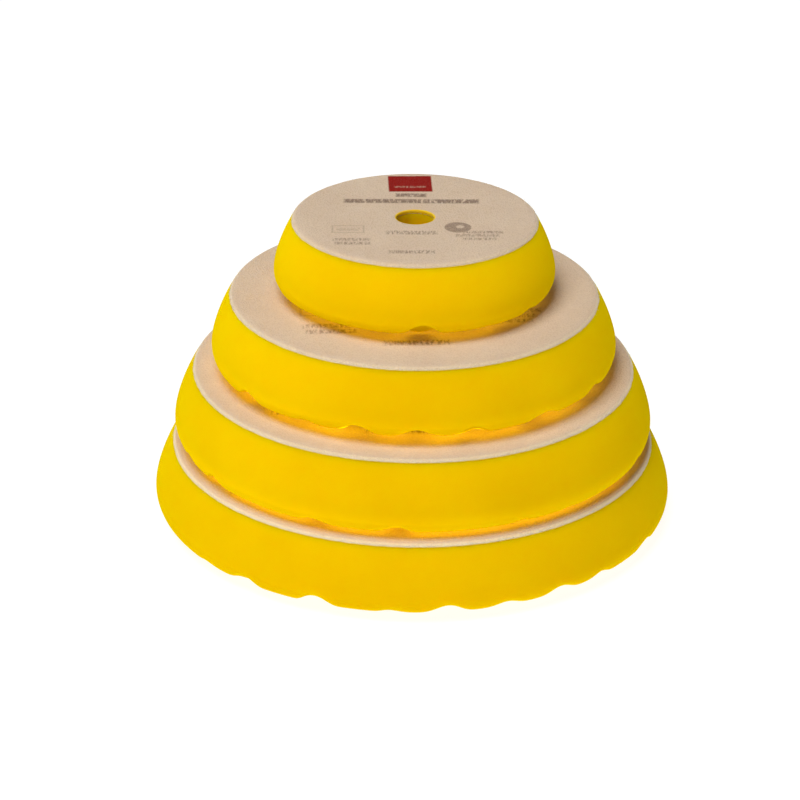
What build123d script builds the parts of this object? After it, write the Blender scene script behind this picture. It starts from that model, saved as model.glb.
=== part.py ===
from build123d import *
import math
import os

os.makedirs("parts", exist_ok=True)

# A set of four hook-and-loop foam polishing pads stacked on one axis, largest
# at the bottom. Millimetres, +Z up, origin at the middle of the underside of
# the largest pad. Every pad is three pieces: a foam disc with a waffle cut
# working face, a film of adhesive, and a loop fabric backing.

# ---- driving dimensions -------------------------------------------------
FOAM_H = 27.45         # foam thickness
FILM_T = 0.2           # adhesive film thickness
LOOP_T = 1.37          # loop backing thickness
SEAT_GAP = 0.08        # free gap between one pad and the pad it rests on
PITCH_Z = FOAM_H + FILM_T + LOOP_T + SEAT_GAP   # height of one pad in the stack

HOLE_R = 7.0           # centring hole through every pad
MOUTH = 0.8            # softened edge of the hole at the working face
BACK_INSET = 0.1       # backing edge set in from the foam edge
FILM_INSET = 0.3       # adhesive edge set in from the foam edge
RIM_H = 11.2           # height of the widest ring above the working face
SIDE_BULGE = 0.8       # outward bow of the tapered side

CELL = 21.1            # pitch of the waffle wells, the same both ways

# name, radius at the top edge of the foam, widest radius, how far the rounded
# rim reaches in under the widest ring, depth of a waffle well, radius of the
# well where it meets the face, waffle turn (degrees), offsets of the wells
# along the two waffle directions, level in the stack (0 = bottom)
PADS = [
    ("extra_large", 90.8, 97.5, 18.5, 8.2, 11.2, 21.6, 19.9, 13.4, 0),
    ("large", 82.7, 89.3, 8.2, 6.5, 8.6, 30.1, 16.0, 12.8, 1),
    ("medium", 68.7, 75.1, 10.2, 8.2, 11.2, 84.9, 12.9, 13.3, 2),
    ("small", 45.5, 51.9, 9.8, 8.2, 11.2, 50.2, 4.9, 7.1, 3),
]


def foam_disc(r_top, r_wide, rim_in, depth, reach, turn, off_u, off_v):
    """Tapered foam disc with a rounded rim, a waffle of round wells and a centre hole."""
    mid_z = (FOAM_H + RIM_H) / 2
    mid_r = (r_top + r_wide) / 2 + SIDE_BULGE
    rim = []
    for step in range(0, 7):
        a = math.radians(90 * step / 6)
        rim.append((r_wide - rim_in + rim_in * math.cos(a), RIM_H - RIM_H * math.sin(a)))
    with BuildPart() as body:
        with BuildSketch(Plane.XZ):
            with BuildLine():
                Polyline(
                    (r_wide - rim_in, 0),
                    (HOLE_R + MOUTH, 0),
                    (HOLE_R, MOUTH),
                    (HOLE_R, FOAM_H),
                    (r_top, FOAM_H),
                )
                ThreePointArc((r_top, FOAM_H), (mid_r, mid_z), (r_wide, RIM_H))
                Spline(*rim, tangents=[(0, -1), (-1, 0)])
            make_face()
        revolve(axis=Axis.Z)
    disc = body.part
    ball_r = (reach**2 + depth**2) / (2 * depth)
    a = math.radians(turn)
    wells = []
    count = int(math.ceil((r_wide + CELL) / CELL)) + 1
    for i in range(-count, count + 1):
        for j in range(-count, count + 1):
            u, v = off_u + i * CELL, off_v + j * CELL
            if math.hypot(u, v) > r_wide + 2.0:
                continue
            px = u * math.cos(a) - v * math.sin(a)
            py = u * math.sin(a) + v * math.cos(a)
            wells.append(Pos(px, py, depth - ball_r) * Sphere(ball_r))
    return disc - wells


def ring(r_out, height):
    """Flat disc with the centring hole."""
    return Cylinder(r_out, height, align=(Align.CENTER, Align.CENTER, Align.MIN)) - Cylinder(
        HOLE_R, 3 * height, align=(Align.CENTER, Align.CENTER, Align.CENTER)
    )


def save(shape, name):
    solids = shape.solids()
    solid = max(solids, key=lambda s: s.volume)
    print(name, "solids", len(solids), "volume mm3", round(solid.volume, 1), "faces", len(solid.faces()))
    export_step(solid, "parts/" + name + ".step")


for size, r_top, r_wide, rim_in, depth, reach, turn, off_u, off_v, level in PADS:
    z0 = level * PITCH_Z
    foam = Pos(0, 0, z0) * foam_disc(r_top, r_wide, rim_in, depth, reach, turn, off_u, off_v)
    film = Pos(0, 0, z0 + FOAM_H) * ring(r_top - FILM_INSET, FILM_T)
    loop = Pos(0, 0, z0 + FOAM_H + FILM_T) * ring(r_top - BACK_INSET, LOOP_T)
    save(foam, "foam_disc_" + size)
    save(film, "adhesive_film_" + size)
    save(loop, "loop_backing_" + size)
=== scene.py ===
import math

import bpy
import numpy as np
from mathutils import Matrix, Vector


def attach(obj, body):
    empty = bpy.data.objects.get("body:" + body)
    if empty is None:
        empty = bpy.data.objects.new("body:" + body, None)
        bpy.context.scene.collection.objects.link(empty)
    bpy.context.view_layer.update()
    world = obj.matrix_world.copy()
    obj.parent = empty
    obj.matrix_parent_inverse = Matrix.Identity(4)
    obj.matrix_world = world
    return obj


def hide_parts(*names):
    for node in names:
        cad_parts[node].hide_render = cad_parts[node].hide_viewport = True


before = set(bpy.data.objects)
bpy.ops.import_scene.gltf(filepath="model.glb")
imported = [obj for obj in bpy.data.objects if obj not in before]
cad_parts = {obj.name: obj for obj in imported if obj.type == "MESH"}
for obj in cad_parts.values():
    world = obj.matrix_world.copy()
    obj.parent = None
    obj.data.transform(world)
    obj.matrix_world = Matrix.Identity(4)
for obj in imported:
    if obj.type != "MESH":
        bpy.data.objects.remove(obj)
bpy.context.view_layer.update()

MM = 0.001

# ------------------------------------------------------------------ sizes, mm
FOAM_H, FILM_T, LOOP_T, SEAT_GAP = 27.45, 0.2, 1.37, 0.08
PITCH_Z = FOAM_H + FILM_T + LOOP_T + SEAT_GAP
HOLE_R, RIM_H, BULGE, BACK_INSET = 7.0, 11.2, 0.8, 0.1
CELL = 21.1

# radius at the top edge, widest radius, width of the raised margin of the
# working face, height of the edge, depth and sharpness of the waffle wells,
# their turn and offsets, level, segments round, print turn (degrees), scale
PADS = {
    "extra_large": (90.8, 97.5, 13.0, 4.4, 8.2, 1.3, 21.6, 19.9, 13.4, 0, 600, -4.0, 2.15),
    "large": (82.7, 89.3, 9.0, 3.0, 6.5, 2.4, 30.1, 16.0, 12.8, 1, 560, -0.5, 1.76),
    "medium": (68.7, 75.1, 12.0, 4.4, 8.2, 1.3, 84.9, 12.9, 13.3, 2, 480, 3.2, 1.42),
    "small": (45.5, 51.9, 12.0, 4.6, 8.2, 1.3, 50.2, 4.9, 7.1, 3, 384, 0.0, 1.0),
}


# ------------------------------------------------------------- mesh helpers
def revolved(name, r, z, segments, shape_fn):
    """Closed ring-shaped skin. r, z: the closed profile in mm; shape_fn moves the points."""
    m = len(r)
    t = np.linspace(0, 2 * math.pi, segments, endpoint=False)
    R = np.repeat(np.asarray(r)[:, None], segments, 1)
    Z = np.repeat(np.asarray(z)[:, None], segments, 1)
    T = np.repeat(t[None, :], m, 0)
    X, Y, Z = shape_fn(R, Z, T)
    co = np.stack([X, Y, Z], -1).reshape(-1, 3) * MM
    i = np.arange(m)[:, None]
    j = np.arange(segments)[None, :]
    i2, j2 = (i + 1) % m, (j + 1) % segments
    quads = np.stack(
        [
            (i * segments + j),
            (i * segments + j2),
            (i2 * segments + j2),
            (i2 * segments + j),
        ],
        -1,
    ).reshape(-1, 4)
    a, b, c, d = (co[quads[:, k]] for k in range(4))
    vol = (a * np.cross(b, c)).sum() + (a * np.cross(c, d)).sum()
    if vol < 0:
        quads = quads[:, ::-1]
    return mesh_object(name, co, quads)


def mesh_object(name, co, faces):
    me = bpy.data.meshes.new(name)
    n = faces.shape[1]
    me.vertices.add(len(co))
    me.vertices.foreach_set("co", np.ascontiguousarray(co, np.float32).ravel())
    me.loops.add(faces.size)
    me.loops.foreach_set("vertex_index", np.ascontiguousarray(faces, np.int32).ravel())
    me.polygons.add(len(faces))
    me.polygons.foreach_set("loop_start", np.arange(0, faces.size, n, dtype=np.int32))
    me.update(calc_edges=True)
    me.validate()
    me.polygons.foreach_set("use_smooth", np.ones(len(me.polygons), bool))
    me.update()
    ob = bpy.data.objects.new(name, me)
    bpy.context.scene.collection.objects.link(ob)
    return ob


def arc3(p0, p1, p2, n):
    """Points on the circle through three points, first to last."""
    (ax, ay), (bx, by), (cx, cy) = p0, p1, p2
    d = 2 * (ax * (by - cy) + bx * (cy - ay) + cx * (ay - by))
    ux = ((ax**2 + ay**2) * (by - cy) + (bx**2 + by**2) * (cy - ay) + (cx**2 + cy**2) * (ay - by)) / d
    uy = ((ax**2 + ay**2) * (cx - bx) + (bx**2 + by**2) * (ax - cx) + (cx**2 + cy**2) * (bx - ax)) / d
    rad = math.hypot(ax - ux, ay - uy)
    a0, a1 = math.atan2(ay - uy, ax - ux), math.atan2(cy - uy, cx - ux)
    return [(ux + rad * math.cos(a), uy + rad * math.sin(a)) for a in np.linspace(a0, a1, n)]


def bezier(points, n):
    (ax, ay), (bx, by), (cx, cy) = points
    out = []
    for t in np.linspace(0, 1, n):
        u = 1 - t
        out.append((u * u * ax + 2 * u * t * bx + t * t * cx, u * u * ay + 2 * u * t * by + t * t * cy))
    return out


def waffle(x, y, depth, sharp, turn, off_u, off_v):
    """Height of the working face: round wells on a square grid, rounded lands between."""
    a = math.radians(turn)
    u = x * math.cos(a) + y * math.sin(a) - off_u
    v = -x * math.sin(a) + y * math.cos(a) - off_v
    k = 2 * math.pi / CELL
    return depth * np.clip(0.5 + 0.25 * (np.cos(k * u) + np.cos(k * v)), 0, 1) ** sharp


def wobble(t, seed, amp):
    rng = np.random.default_rng(seed)
    out = np.zeros_like(t)
    for k in range(2, 8):
        out += rng.normal(0, 1.0 / k) * np.cos(k * t + rng.uniform(0, 6.283))
    return amp * out


def make_foam(size):
    r_top, r_wide, rim_in, edge_z, depth, sharp, turn, off_u, off_v, level, seg, _, _ = PADS[size]
    z0 = level * PITCH_Z
    prof = [(HOLE_R, z) for z in np.linspace(FOAM_H - 0.5, 1.0, 12)]
    prof += [(HOLE_R + 0.1, 0.55), (HOLE_R + 0.35, 0.2), (HOLE_R + 0.8, 0.0)]
    c = r_wide - rim_in
    n_face = int((c - HOLE_R - 0.8) / 1.5)
    prof += [(r, 0.0) for r in np.linspace(HOLE_R + 0.8, c, n_face)[1:]]
    # raised outer margin, small rounded edge, then the wall up to the widest ring
    p1 = (r_wide - 3.2, edge_z - 0.75)
    p2 = (r_wide - 0.3, edge_z + 2.1)
    prof += bezier([(c, 0.0), (c + 0.5 * (p1[0] - c), 0.32 * p1[1]), p1], 12)[1:]
    prof += bezier([p1, (r_wide - 1.0, edge_z - 0.35), p2], 9)[1:]
    mid = ((r_top + r_wide) / 2 + BULGE, (FOAM_H + RIM_H) / 2)
    side = arc3((r_wide + 0.15, RIM_H), mid, (r_top, FOAM_H), 21)
    side = [p for p in side if p[1] > 16.0]
    lean = (side[0][0] - side[1][0]) / (side[1][1] - side[0][1])
    mid_z = edge_z + 5.2
    prof += bezier([p2, (side[0][0] + lean * (side[0][1] - mid_z), mid_z), side[0]], 12)[1:]
    prof += side[1:-1]
    prof += [(r_top + 0.04, FOAM_H - 0.25), (r_top - 0.05, FOAM_H - 0.05), (r_top - 0.3, FOAM_H)]
    prof += [(r_top * k + 8.0 * (1 - k), FOAM_H) for k in (0.95, 0.6, 0.25, 0.0)]
    prof += [(HOLE_R + 0.3, FOAM_H), (HOLE_R + 0.08, FOAM_H - 0.1)]
    r, z = np.array(prof).T

    def shape(R, Z, T):
        X, Y = R * np.cos(T), R * np.sin(T)
        W = waffle(X, Y, depth, sharp, turn, off_u, off_v)
        hole_side = R < HOLE_R + 1.2
        outer = (~hole_side) & (Z < 20)
        k = 2.0 * np.clip(Z / 2.0, 0, 1) + 1e-6
        h = np.clip(k - np.abs(Z - W), 0, None) / k
        lifted = np.maximum(Z, W) + h * h * k * 0.25
        Z2 = np.where(hole_side, Z + W * (1 - Z / FOAM_H), np.where(outer, lifted, Z))
        out = np.clip((R - 0.75 * r_wide) / (0.25 * r_wide), 0, 1)
        low = np.clip(1 - Z / FOAM_H, 0, 1)
        dr = out * (0.35 + 0.65 * low) * wobble(T, 11 + level, 0.28)
        X, Y = (R + dr) * np.cos(T), (R + dr) * np.sin(T)
        return X, Y, Z2 + z0

    ob = revolved("waffle_foam_" + size, r, z, seg, shape)
    return ob


def make_loop(size):
    r_top, level, seg = PADS[size][0], PADS[size][9], PADS[size][10]
    z0 = level * PITCH_Z + FOAM_H + FILM_T
    ro = r_top - BACK_INSET
    prof = [(HOLE_R, 0.95), (HOLE_R, 0.4), (HOLE_R, 0.0), (HOLE_R + 0.03, -0.19), (HOLE_R + 0.2, -0.17), (HOLE_R + 0.25, 0.0)]
    prof += [(HOLE_R + (ro - HOLE_R) * k, 0.0) for k in (0.3, 0.7)]
    prof += [(ro - 0.18, 0.0), (ro - 0.15, -0.14), (ro - 0.06, -0.15), (ro - 0.012, -0.147), (ro, -0.125), (ro - 0.015, -0.08), (ro - 0.13, 0.18), (ro - 0.4, 0.6), (ro - 0.85, 1.03), (ro - 1.5, LOOP_T)]
    n = int((ro - HOLE_R - 1.6) / 1.5)
    prof += [(rr, LOOP_T) for rr in np.linspace(ro - 1.5, HOLE_R + 0.8, n)[1:]]
    prof += [(HOLE_R + 0.35, 1.3), (HOLE_R + 0.1, 1.15)]
    r, z = np.array(prof).T
    rng = np.random.default_rng(70 + level)
    fine = rng.normal(0, 1, seg)
    fine = (fine + np.roll(fine, 1) + np.roll(fine, -1)) / 3

    def shape(R, Z, T):
        edge = np.clip((R - (ro - 1.2)) / 1.2, 0, 1) + np.clip((HOLE_R + 1.0 - R) / 1.0, 0, 1) * -0.6
        dr = edge * (0.09 * fine[None, :] + wobble(T, 31 + level, 0.05))
        top = Z > 1.2
        X, Y = (R + dr) * np.cos(T), (R + dr) * np.sin(T)
        sag = 0.05 + 0.035 * np.sin(X * 0.21 + level) * np.cos(Y * 0.17) + 0.015 * np.sin(X * 0.9) * np.sin(Y * 0.83 + 1)
        Z2 = np.where(top, Z - sag, Z)
        return X, Y, Z2 + z0

    return revolved("loop_fabric_" + size, r, z, seg, shape)


def make_fibres(size, count):
    """Short stray fibres of the pile round the cut edge of the backing."""
    r_top, level = PADS[size][0], PADS[size][9]
    z0 = level * PITCH_Z + FOAM_H + FILM_T
    ro = r_top - BACK_INSET
    rng = np.random.default_rng(900 + level)
    verts, faces = [], []
    for _ in range(count):
        t = rng.uniform(0, 2 * math.pi)
        out = np.array([math.cos(t), math.sin(t), 0.0])
        side = np.array([-math.sin(t), math.cos(t), 0.0])
        up = np.array([0, 0, 1.0])
        p = out * (ro - rng.uniform(0.15, 0.5)) + up * (z0 + rng.uniform(0.7, 1.1))
        lean = rng.uniform(-0.9, 0.9)
        d = out * rng.uniform(0.5, 1.0) + side * lean + up * rng.uniform(0.0, 0.35)
        d /= np.linalg.norm(d)
        bend = side * rng.uniform(-0.5, 0.5) + up * rng.uniform(-0.7, 0.1) + out * rng.uniform(-0.4, 0.1)
        long = rng.uniform(0.35, 0.85)
        if rng.uniform() < 0.04:
            long = rng.uniform(1.0, 1.7)
        rad = rng.uniform(0.025, 0.045)
        base = len(verts)
        for k in range(4):
            s = k / 3
            c = p + d * long * s + bend * long * 0.45 * s * s
            tang = d + bend * 0.9 * s
            tang /= np.linalg.norm(tang)
            e1 = np.cross(tang, up)
            e1 /= np.linalg.norm(e1) + 1e-9
            e2 = np.cross(tang, e1)
            w = rad * (1 - 0.6 * s)
            for q in range(3):
                a = 2 * math.pi * q / 3
                verts.append(c + w * (math.cos(a) * e1 + math.sin(a) * e2))
        for k in range(3):
            for q in range(3):
                a0, a1 = base + 3 * k + q, base + 3 * k + (q + 1) % 3
                faces.append([a0, a1, a1 + 3])
                faces.append([a0, a1 + 3, a0 + 3])
        faces.append([base, base + 2, base + 1])
        faces.append([base + 9, base + 10, base + 11])
    return mesh_object("edge_fibres_" + size, np.array(verts) * MM, np.array(faces, np.int64))


# ------------------------------------------------------------ node helpers
class Tree:
    def __init__(self, tree):
        self.t = tree

    def node(self, kind, **props):
        n = self.t.nodes.new(kind)
        for k, v in props.items():
            setattr(n, k, v)
        return n

    def put(self, socket, value):
        if value is None:
            return
        if isinstance(value, bpy.types.NodeSocket):
            self.t.links.new(value, socket)
        else:
            socket.default_value = value

    def math(self, op, a, b=None, c=None, clamp=False):
        n = self.node("ShaderNodeMath", operation=op, use_clamp=clamp)
        self.put(n.inputs[0], a)
        self.put(n.inputs[1], b)
        self.put(n.inputs[2], c)
        return n.outputs[0]

    def vmath(self, op, a, b=None, scale=None):
        n = self.node("ShaderNodeVectorMath", operation=op)
        self.put(n.inputs[0], a)
        self.put(n.inputs[1], b)
        if scale is not None:
            self.put(n.inputs["Scale"], scale)
        return n.outputs[0]

    def noise(self, vec, scale, detail=2.0, rough=0.5, dist=0.0):
        n = self.node("ShaderNodeTexNoise")
        self.put(n.inputs["Vector"], vec)
        n.inputs["Scale"].default_value = scale
        n.inputs["Detail"].default_value = detail
        n.inputs["Roughness"].default_value = rough
        n.inputs["Distortion"].default_value = dist
        return n

    def voronoi(self, vec, scale, feature="F1"):
        n = self.node("ShaderNodeTexVoronoi", feature=feature)
        self.put(n.inputs["Vector"], vec)
        n.inputs["Scale"].default_value = scale
        return n

    def ramp(self, fac, lo, hi, to_lo=0.0, to_hi=1.0, smooth=True):
        n = self.node("ShaderNodeMapRange", interpolation_type="SMOOTHSTEP" if smooth else "LINEAR")
        self.put(n.inputs["Value"], fac)
        n.inputs["From Min"].default_value = lo
        n.inputs["From Max"].default_value = hi
        n.inputs["To Min"].default_value = to_lo
        n.inputs["To Max"].default_value = to_hi
        return n.outputs["Result"]

    def mix(self, fac, a, b, blend="MIX"):
        n = self.node("ShaderNodeMix", data_type="RGBA", blend_type=blend)
        self.put(n.inputs[0], fac)
        self.put(n.inputs[6], a)
        self.put(n.inputs[7], b)
        return n.outputs[2]

    def bump(self, height, strength, distance, normal=None):
        n = self.node("ShaderNodeBump")
        self.put(n.inputs["Height"], height)
        n.inputs["Strength"].default_value = strength
        n.inputs["Distance"].default_value = distance
        self.put(n.inputs["Normal"], normal)
        return n.outputs[0]

    def mapping(self, vec, loc=(0, 0, 0), rot=(0, 0, 0), scale=(1, 1, 1), kind="POINT"):
        n = self.node("ShaderNodeMapping", vector_type=kind)
        self.put(n.inputs["Vector"], vec)
        n.inputs["Location"].default_value = loc
        n.inputs["Rotation"].default_value = rot
        n.inputs["Scale"].default_value = scale
        return n.outputs[0]


def lin(r, g, b, a=1.0):
    f = lambda c: ((c / 255 + 0.055) / 1.055) ** 2.4 if c > 10.3 else c / 255 / 12.92
    return (f(r), f(g), f(b), a)


def new_material(name):
    m = bpy.data.materials.new(name)
    m.use_nodes = True
    m.node_tree.nodes.clear()
    t = Tree(m.node_tree)
    out = t.node("ShaderNodeOutputMaterial")
    bsdf = t.node("ShaderNodeBsdfPrincipled")
    m.node_tree.links.new(bsdf.outputs[0], out.inputs[0])
    return m, t, bsdf


# --------------------------------------------------------------- materials
FOAM_A, FOAM_B = lin(235, 190, 1), lin(240, 196, 2)
# colour of the painted glow (emission) on the foam rims
PAINTED_GLOW_COLOR = (1.0, 0.71, 0.0, 1)


def foam_material(size):
    """Golden yellow open cell foam: fine pores, cloudy colour, painted warmer shade in the grooves and a painted
    glow (emission) low on the outer rim.
    """
    r_wide, level = PADS[size][1], PADS[size][9]
    m, t, b = new_material("polishing_foam_" + size)
    pos = t.node("ShaderNodeTexCoord").outputs["Object"]
    xyz = t.node("ShaderNodeSeparateXYZ")
    t.put(xyz.inputs[0], pos)
    height = t.math("SUBTRACT", xyz.outputs[2], level * PITCH_Z * MM)
    cloud = t.noise(pos, 30.0, 2.0, 0.5).outputs[0]
    patch = t.noise(pos, 120.0, 2.0, 0.5).outputs[0]
    pores = t.voronoi(pos, 2100.0)
    cells = t.voronoi(pos, 950.0)
    grain = t.noise(pos, 3200.0, 2.0, 0.6).outputs[0]
    col = t.mix(t.ramp(cloud, 0.3, 0.7), FOAM_A, FOAM_B)
    col = t.mix(t.ramp(patch, 0.4, 0.7, 0.0, 0.12), col, lin(230, 181, 1))
    pit = t.ramp(pores.outputs["Distance"], 0.02, 0.32)
    col = t.mix(t.ramp(pit, 0.0, 1.0, 0.16, 0.0, smooth=False), col, lin(204, 142, 0))
    big = t.ramp(cells.outputs["Distance"], 0.0, 0.16)
    col = t.mix(t.ramp(big, 0.0, 1.0, 0.14, 0.0, smooth=False), col, lin(196, 136, 0))
    # painted shade: the foam deep in the wells of the working face is coloured warmer and darker, standing in
    # for the shade in the wells
    painted_well_shade = t.math("MULTIPLY", t.ramp(height, 0.0008, 0.0042), t.ramp(height, 0.0085, 0.0052))
    col = t.mix(t.math("MULTIPLY", painted_well_shade, 0.06), col, lin(236, 168, 0))
    t.put(b.inputs["Base Color"], col)
    b.inputs["Roughness"].default_value = 0.95
    b.inputs["Specular IOR Level"].default_value = 0.0
    b.inputs["Subsurface Weight"].default_value = 0.75
    b.inputs["Subsurface Radius"].default_value = (1.0, 0.75, 0.03)
    b.inputs["Subsurface Scale"].default_value = 0.006
    b.inputs["Sheen Weight"].default_value = 0.0
    # painted glow: emission on the underside of the thin outer margin stands in for light that comes through the
    # foam, seen from below
    flat_r = t.node("ShaderNodeVectorMath", operation="LENGTH")
    t.put(flat_r.inputs[0], t.vmath("MULTIPLY", pos, (1.0, 1.0, 0.0)))
    margin = t.ramp(flat_r.outputs["Value"], (r_wide - 24.0) * MM, (r_wide - 10.0) * MM)
    nz = t.node("ShaderNodeSeparateXYZ")
    t.put(nz.inputs[0], t.node("ShaderNodeNewGeometry").outputs["Normal"])
    under = t.ramp(nz.outputs[2], -0.35, -0.85)
    outward = t.node("ShaderNodeVectorMath", operation="DOT_PRODUCT")
    t.put(outward.inputs[0], t.node("ShaderNodeNewGeometry").outputs["Normal"])
    t.put(outward.inputs[1], t.vmath("NORMALIZE", t.vmath("MULTIPLY", pos, (1.0, 1.0, 0.0))))
    under = t.math("MULTIPLY", under, t.ramp(outward.outputs["Value"], *((0.52, 0.32, 0.08, 1.0) if size == "small" else (0.62, 0.40, 0.15, 1.0))))
    under = t.math("MULTIPLY", under, t.ramp(flat_r.outputs["Value"], (r_wide - 2.8) * MM, (r_wide - 4.0) * MM))
    low_part = t.ramp(height, 0.0088, 0.0054)
    # the painted glow is weaker on the side turned away from the lamp
    lit_side = t.node("ShaderNodeVectorMath", operation="DOT_PRODUCT")
    t.put(lit_side.inputs[0], t.vmath("NORMALIZE", t.vmath("MULTIPLY", pos, (1.0, 1.0, 0.0))))
    lit_side.inputs[1].default_value = (-0.40, -0.92, 0.0)
    under = t.math("MULTIPLY", under, t.ramp(lit_side.outputs["Value"], -0.7, 0.6, 0.35, 1.0))
    painted_underside_glow = t.math("MULTIPLY", t.math("MULTIPLY", margin, under), low_part)
    # painted light: emission on the wall just above the edge stands in for light coming through the foam on the
    # side that faces the lamp
    faces_light = t.node("ShaderNodeVectorMath", operation="DOT_PRODUCT")
    t.put(faces_light.inputs[0], t.node("ShaderNodeNewGeometry").outputs["Normal"])
    faces_light.inputs[1].default_value = (-0.45, -0.89, 0.0)
    turned = t.ramp(nz.outputs[2], 0.28, -0.22)
    wall = t.math("MULTIPLY", turned, t.ramp(nz.outputs[2], -0.80, -0.45))
    wall = t.math("MULTIPLY", wall, t.ramp(height, 0.0185, 0.0085))
    wall = t.math("MULTIPLY", wall, t.ramp(faces_light.outputs["Value"], -0.35, 0.75))
    wall = t.math("MULTIPLY", wall, t.ramp(flat_r.outputs["Value"], (r_wide - 3.6) * MM, (r_wide - 2.0) * MM))
    wall = t.math("MULTIPLY", wall, 0.03 if size == "extra_large" else 0.10)
    # emission colour: painted glow under the rim plus painted light on the wall
    t.put(b.inputs["Emission Color"], t.mix(t.math("ADD", t.math("MULTIPLY", painted_underside_glow, {"extra_large": 0.0, "small": 0.72}.get(size, 1.0)), wall), (0, 0, 0, 1), PAINTED_GLOW_COLOR))
    b.inputs["Emission Strength"].default_value = 1.35
    h = t.math("ADD", t.math("MULTIPLY", pit, 0.55), t.math("MULTIPLY", big, 0.6))
    h = t.math("ADD", h, t.math("MULTIPLY", grain, 0.35))
    n1 = t.bump(patch, 0.12, 0.0005)
    t.put(b.inputs["Normal"], t.bump(h, 0.4, 0.00015, n1))
    return m


def print_group():
    """Generic printed marks in the smallest pad's size, in mm: a red block, broken lines and two plain signs."""
    g = bpy.data.node_groups.new("printed_marks", "ShaderNodeTree")
    g.interface.new_socket("Vector", in_out="INPUT", socket_type="NodeSocketVector")
    g.interface.new_socket("Ink", in_out="OUTPUT", socket_type="NodeSocketFloat")
    g.interface.new_socket("Red", in_out="OUTPUT", socket_type="NodeSocketFloat")
    t = Tree(g)
    gin, gout = t.node("NodeGroupInput"), t.node("NodeGroupOutput")
    base = gin.outputs[0]
    rough = t.noise(base, 2.2, 2.0, 0.6)
    jitter = t.vmath("SCALE", t.vmath("SUBTRACT", rough.outputs["Color"], (0.5, 0.5, 0.5)), scale=0.55)
    vec = t.vmath("ADD", base, jitter)

    def box(cx, cy, w, h, turn=0.0, soft=0.25):
        p = t.mapping(vec, (cx, cy, 0), (0, 0, math.radians(turn)), (1, 1, 1), "TEXTURE")
        p = t.vmath("ABSOLUTE", p)
        p = t.vmath("SUBTRACT", p, (w / 2, h / 2, 0))
        s = t.node("ShaderNodeSeparateXYZ")
        t.put(s.inputs[0], p)
        return t.ramp(t.math("MAXIMUM", s.outputs[0], s.outputs[1]), soft, -soft)

    def ball(cx, cy, r, soft=0.25):
        p = t.vmath("SUBTRACT", vec, (cx, cy, 0))
        s = t.node("ShaderNodeSeparateXYZ")
        t.put(s.inputs[0], p)
        flat = t.node("ShaderNodeCombineXYZ")
        t.put(flat.inputs[0], s.outputs[0])
        t.put(flat.inputs[1], s.outputs[1])
        n = t.node("ShaderNodeVectorMath", operation="LENGTH")
        t.put(n.inputs[0], flat.outputs[0])
        return t.ramp(t.math("SUBTRACT", n.outputs["Value"], r), soft, -soft)

    def union(items):
        out = items[0]
        for i in items[1:]:
            out = t.math("MAXIMUM", out, i)
        return out

    # broken strokes: blobs along a line, never letters
    wide = t.noise(t.mapping(base, scale=(0.95, 0.22, 1)), 1.0, 2.0, 0.6).outputs[0]
    fine = t.noise(t.mapping(base, (7, 3, 0), scale=(1.5, 0.4, 1)), 1.0, 2.0, 0.6).outputs[0]
    bold_stroke = t.ramp(wide, 0.30, 0.53)
    fine_stroke = t.ramp(fine, 0.34, 0.66)
    bold = union([box(-1.6, 21.6, 11.2, 3.6, 1.0, 0.7), box(-1.4, 15.6, 50.0, 4.0, 1.0, 0.7)])
    fines = union(
        [
            box(-1.3, -15.4, 18.5, 3.4, 1.0, 0.6),
            box(-22.8, -22.6, 13.5, 2.6, 1.0, 0.6),
            box(-22.4, -26.0, 12.8, 2.6, 1.0, 0.6),
            box(24.6, -14.2, 14.6, 2.4, 1.0, 0.6),
            box(22.6, -17.4, 15.6, 2.4, 1.0, 0.6),
            box(23.2, -20.6, 12.0, 2.2, 1.0, 0.6),
            box(-1.2, -33.5, 16.6, 3.0, 1.0, 0.6),
        ]
    )
    outline = t.math("SUBTRACT", box(-24.3, -12.7, 12.0, 7.2, 1.0, 0.2), box(-24.3, -12.7, 10.6, 5.8, 1.0, 0.2), clamp=True)
    inside = t.math("MULTIPLY", box(-24.3, -12.7, 8.5, 3.0, 1.0, 0.2), fine_stroke)
    disc = t.math("SUBTRACT", ball(15.6, -9.8, 4.9), t.math("MULTIPLY", ball(16.4, -9.2, 1.5), 0.8), clamp=True)
    wear = t.ramp(t.noise(base, 0.9, 3.0, 0.65).outputs[0], 0.28, 0.5, 0.55, 1.0)
    ink = union(
        [
            t.math("MULTIPLY", bold, bold_stroke),
            t.math("MULTIPLY", t.math("MULTIPLY", fines, fine_stroke), 0.85),
            t.math("MULTIPLY", outline, 0.35),
            t.math("MULTIPLY", inside, 0.4),
            t.math("MULTIPLY", disc, 0.85),
        ]
    )
    t.put(gout.inputs["Ink"], t.math("MULTIPLY", ink, wear, clamp=True))
    block = box(-2.0, 33.4, 16.4, 16.2, 2.2, 0.3)
    ring = t.math("SUBTRACT", ball(-1.9, 34.5, 4.6, 0.3), ball(-1.9, 34.5, 3.6, 0.3), clamp=True)
    strip = box(-2.0, 30.2, 11.6, 1.7, 2.2, 0.5)
    pale = t.math("MAXIMUM", t.math("MULTIPLY", ring, 0.0), t.math("MULTIPLY", t.math("MULTIPLY", strip, fine_stroke), 0.6))
    t.put(gout.inputs["Red"], t.math("SUBTRACT", block, t.math("MULTIPLY", pale, 0.8), clamp=True))
    return g


MARKS = print_group()


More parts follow.
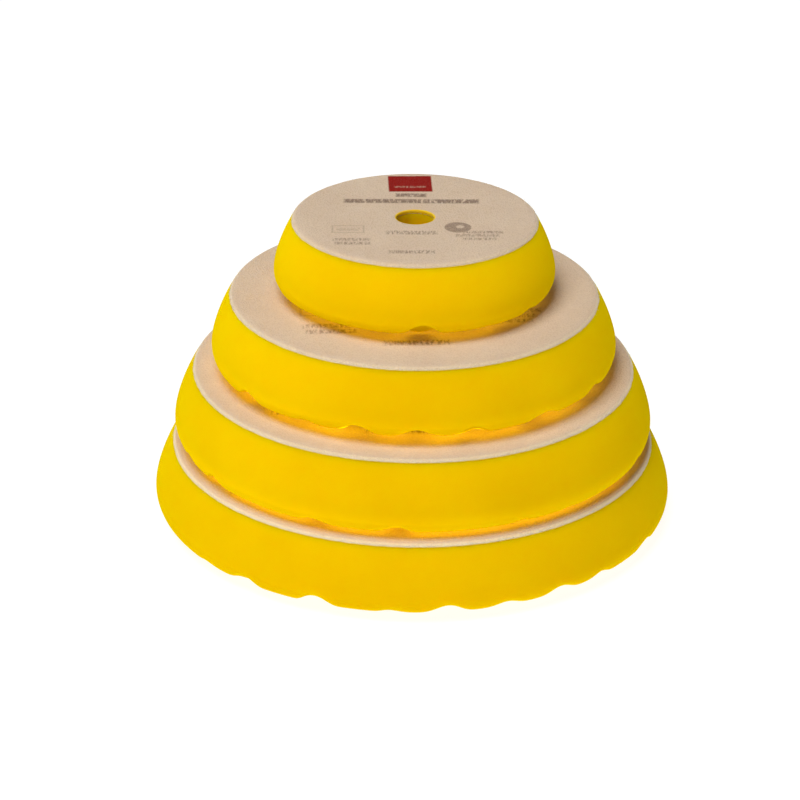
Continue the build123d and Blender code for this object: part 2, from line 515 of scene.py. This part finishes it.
def loop_material(size):
    """Cream brushed loop pile with worn ink marks, a painted highlight on the cut edge and painted yellow light
    at the hole and along the bottom of the edge.
    """
    level, turn, scale = PADS[size][9], PADS[size][11], PADS[size][12]
    m, t, b = new_material("loop_fabric_" + size)
    pos = t.node("ShaderNodeTexCoord").outputs["Object"]
    mm = t.vmath("SCALE", pos, scale=1000.0)
    flat = t.mapping(mm, (0, 0, 0), (0, 0, 0), (1, 1, 0))
    layout = t.mapping(flat, (0, 0, 0), (0, 0, math.radians(turn)), (scale, scale, 1), "TEXTURE")
    marks = t.node("ShaderNodeGroup")
    marks.node_tree = MARKS
    t.put(marks.inputs[0], layout)
    loops = t.voronoi(mm, 1.55)
    tuft = t.noise(mm, 2.6, 3.0, 0.65).outputs[0]
    nap = t.noise(t.mapping(mm, rot=(0, 0, math.radians(28 + 37 * level)), scale=(0.35, 1.6, 1)), 1.0, 3.0, 0.6).outputs[0]
    broad = t.noise(mm, 0.045, 3.0, 0.55).outputs[0]
    speck = t.noise(mm, 5.5, 1.0, 0.5).outputs[0]
    col = t.mix(t.ramp(broad, 0.35, 0.68), lin(211, 187, 161), lin(216, 193, 167))
    col = t.mix(t.ramp(nap, 0.32, 0.72, 0.0, 0.3), col, lin(198, 172, 150))
    col = t.mix(t.ramp(tuft, 0.55, 0.8, 0.0, 0.4), col, lin(220, 198, 178))
    gap = t.ramp(loops.outputs["Distance"], 0.35, 0.75)
    col = t.mix(t.math("MULTIPLY", gap, 0.18), col, lin(178, 148, 120))
    col = t.mix(t.ramp(speck, 0.66, 0.8, 0.0, 0.25), col, lin(164, 134, 108))
    flat_r = t.node("ShaderNodeVectorMath", operation="LENGTH")
    t.put(flat_r.inputs[0], flat)
    ro = PADS[size][0] - BACK_INSET
    # painted highlight: the fabric near the cut edge is coloured paler, standing in for light caught by the
    # rounded edge; stronger on the bigger pads
    painted_edge_highlight = t.ramp(t.math("ADD", flat_r.outputs["Value"], t.math("MULTIPLY", tuft, 0.8)), ro - 1.0, ro - 0.1)
    pale = {"extra_large": 0.75, "large": 0.55, "medium": 0.4, "small": 0.22}[size]
    col = t.mix(t.math("MULTIPLY", painted_edge_highlight, pale), col, lin(250, 226, 186))
    # painted light: the fabric round the centre hole is coloured foam yellow, standing in for yellow light from
    # the foam in place of its shade
    painted_hole_yellow_light = t.ramp(flat_r.outputs["Value"], HOLE_R + 0.7, HOLE_R + 0.2)
    col = t.mix(t.math("MULTIPLY", painted_hole_yellow_light, 0.95), col, lin(246, 200, 10))
    # painted light: the lowest part of the cut edge is coloured foam yellow, standing in for yellow light from
    # the foam it is bonded to, in place of its shade
    place = t.node("ShaderNodeSeparateXYZ")
    t.put(place.inputs[0], mm)
    above = t.math("SUBTRACT", place.outputs[2], level * PITCH_Z + FOAM_H + FILM_T)
    painted_edge_yellow_light = t.math("MULTIPLY", t.ramp(above, 0.25, -0.1), t.ramp(flat_r.outputs["Value"], ro - 0.6, ro - 0.3))
    col = t.mix(t.math("MULTIPLY", painted_edge_yellow_light, 0.9), col, lin(252, 206, 20))
    ink_cover = t.ramp(tuft, 0.25, 0.6, 0.95, 0.6)
    col = t.mix(t.math("MULTIPLY", marks.outputs["Ink"], ink_cover), col, lin(84, 60, 50))
    red_cover = t.ramp(tuft, 0.3, 0.75, 1.0, 0.94)
    col = t.mix(t.math("MULTIPLY", marks.outputs["Red"], red_cover), col, lin(138, 10, 10))
    t.put(b.inputs["Base Color"], col)
    b.inputs["Roughness"].default_value = 0.98
    b.inputs["Specular IOR Level"].default_value = 0.03
    b.inputs["Subsurface Weight"].default_value = 0.5
    b.inputs["Subsurface Radius"].default_value = (1.0, 0.85, 0.6)
    b.inputs["Subsurface Scale"].default_value = 0.0016
    b.inputs["Sheen Weight"].default_value = 0.0
    h = t.math("ADD", t.math("MULTIPLY", gap, -0.8), t.math("MULTIPLY", tuft, 0.9))
    h = t.math("ADD", h, t.math("MULTIPLY", nap, 0.5))
    t.put(b.inputs["Normal"], t.bump(h, 0.55, 0.00035))
    return m


def fibre_material():
    m, t, b = new_material("pile_fibre")
    pos = t.node("ShaderNodeTexCoord").outputs["Object"]
    n = t.noise(pos, 900.0, 2.0).outputs[0]
    t.put(b.inputs["Base Color"], t.mix(t.ramp(n, 0.35, 0.65), lin(222, 204, 178), lin(244, 236, 220)))
    b.inputs["Roughness"].default_value = 0.7
    return m


def film_material():
    m, t, b = new_material("adhesive_film")
    pos = t.node("ShaderNodeTexCoord").outputs["Object"]
    n = t.noise(pos, 260.0, 3.0, 0.6).outputs[0]
    t.put(b.inputs["Base Color"], t.mix(t.ramp(n, 0.35, 0.7), lin(222, 186, 120), lin(206, 160, 82)))
    t.put(b.inputs["Roughness"], t.ramp(n, 0.3, 0.7, 0.45, 0.7))
    b.inputs["Specular IOR Level"].default_value = 0.4
    t.put(b.inputs["Normal"], t.bump(n, 0.3, 0.00005))
    return m


# ---------------------------------------------------------------- the pads
FIBRE, FILM = fibre_material(), film_material()
for size in PADS:
    body = "pad_" + size
    r_top = PADS[size][0]
    foam = make_foam(size)
    foam.data.materials.append(foam_material(size))
    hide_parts("foam_disc_" + size)
    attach(foam, body)

    loop = make_loop(size)
    loop.data.materials.append(loop_material(size))
    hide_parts("loop_backing_" + size)
    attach(loop, body)

    fibres = make_fibres(size, int(7.0 * (r_top - BACK_INSET)))
    fibres.data.materials.append(FIBRE)
    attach(fibres, body)

    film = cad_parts["adhesive_film_" + size]
    film.data.materials.clear()
    film.data.materials.append(FILM)

# ------------------------------------------------------------------- stage
def make_floor():
    n = 41
    g = np.linspace(-6, 6, n)
    X, Y = np.meshgrid(g, g, indexing="ij")
    co = np.stack([X, Y, np.full_like(X, -0.0002)], -1).reshape(-1, 3)
    i, j = np.meshgrid(np.arange(n - 1), np.arange(n - 1), indexing="ij")
    a = (i * n + j).ravel()
    quads = np.stack([a, a + n, a + n + 1, a + 1], -1)
    ob = mesh_object("studio_floor", co, quads)
    m, t, b = new_material("studio_floor")
    pos = t.node("ShaderNodeTexCoord").outputs["Object"]
    n1 = t.noise(pos, 3.0, 2.0).outputs[0]
    t.put(b.inputs["Base Color"], t.mix(n1, (0.22, 0.22, 0.219, 1), (0.24, 0.24, 0.239, 1)))
    b.inputs["Emission Color"].default_value = (1.0, 0.998, 0.99, 1)
    b.inputs["Emission Strength"].default_value = 0.90
    b.inputs["Roughness"].default_value = 0.9
    b.inputs["Specular IOR Level"].default_value = 0.0
    ob.data.materials.append(m)
    return ob


make_floor()

world = bpy.data.worlds.new("studio")
bpy.context.scene.world = world
world.use_nodes = True
bg = world.node_tree.nodes["Background"]
# a studio sky: pale near the horizon, dim overhead
sky = Tree(world.node_tree)
rise = sky.node("ShaderNodeSeparateXYZ")
sky.put(rise.inputs[0], sky.node("ShaderNodeTexCoord").outputs["Generated"])
shade = sky.mix(sky.ramp(rise.outputs[2], 0.06, 0.34), (0.76, 0.758, 0.752, 1), (0.05, 0.0498, 0.0493, 1))
sky.put(bg.inputs["Color"], shade)
bg.inputs["Strength"].default_value = 1.0


def area(name, loc, target, size, power, color=(1, 1, 1)):
    d = bpy.data.lights.new(name, "AREA")
    d.shape = "RECTANGLE"
    d.size, d.size_y = size
    d.energy = power
    d.color = color
    o = bpy.data.objects.new(name, d)
    o.location = loc
    o.rotation_euler = (Vector(target) - Vector(loc)).to_track_quat("-Z", "Y").to_euler()
    bpy.context.scene.collection.objects.link(o)
    return o


area("key_high_left", (-0.42, -0.64, 1.82), (0, 0, 0.05), (1.1, 1.0), 37.0)

# ------------------------------------------------------------------ camera
pitch, yaw, roll = 0.4453, 0.0027, 0.0105
cp, sp, cy, sy, cr, sr = (
    math.cos(pitch), math.sin(pitch), math.cos(yaw), math.sin(yaw), math.cos(roll), math.sin(roll),
)
turn = Matrix(((cy, -sy, 0), (sy, cy, 0), (0, 0, 1)))
fwd, right, up = turn @ Vector((0, cp, -sp)), turn @ Vector((1, 0, 0)), turn @ Vector((0, sp, cp))
right2, up2 = cr * right + sr * up, -sr * right + cr * up
cam_data = bpy.data.cameras.new("camera")
cam_data.sensor_width = 36.0
cam_data.lens = 36.0 * 2840.44 / 800
cam_data.clip_start, cam_data.clip_end = 0.05, 50
cam = bpy.data.objects.new("camera", cam_data)
m = Matrix.Identity(4)
for k in range(3):
    m[k][0], m[k][1], m[k][2] = right2[k], up2[k], -fwd[k]
m[0][3], m[1][3], m[2][3] = -2.22 * MM, -969.12 * MM, 504.30 * MM
cam.matrix_world = m
bpy.context.scene.collection.objects.link(cam)
bpy.context.scene.camera = cam
bpy.context.scene.view_settings.view_transform = "Standard"
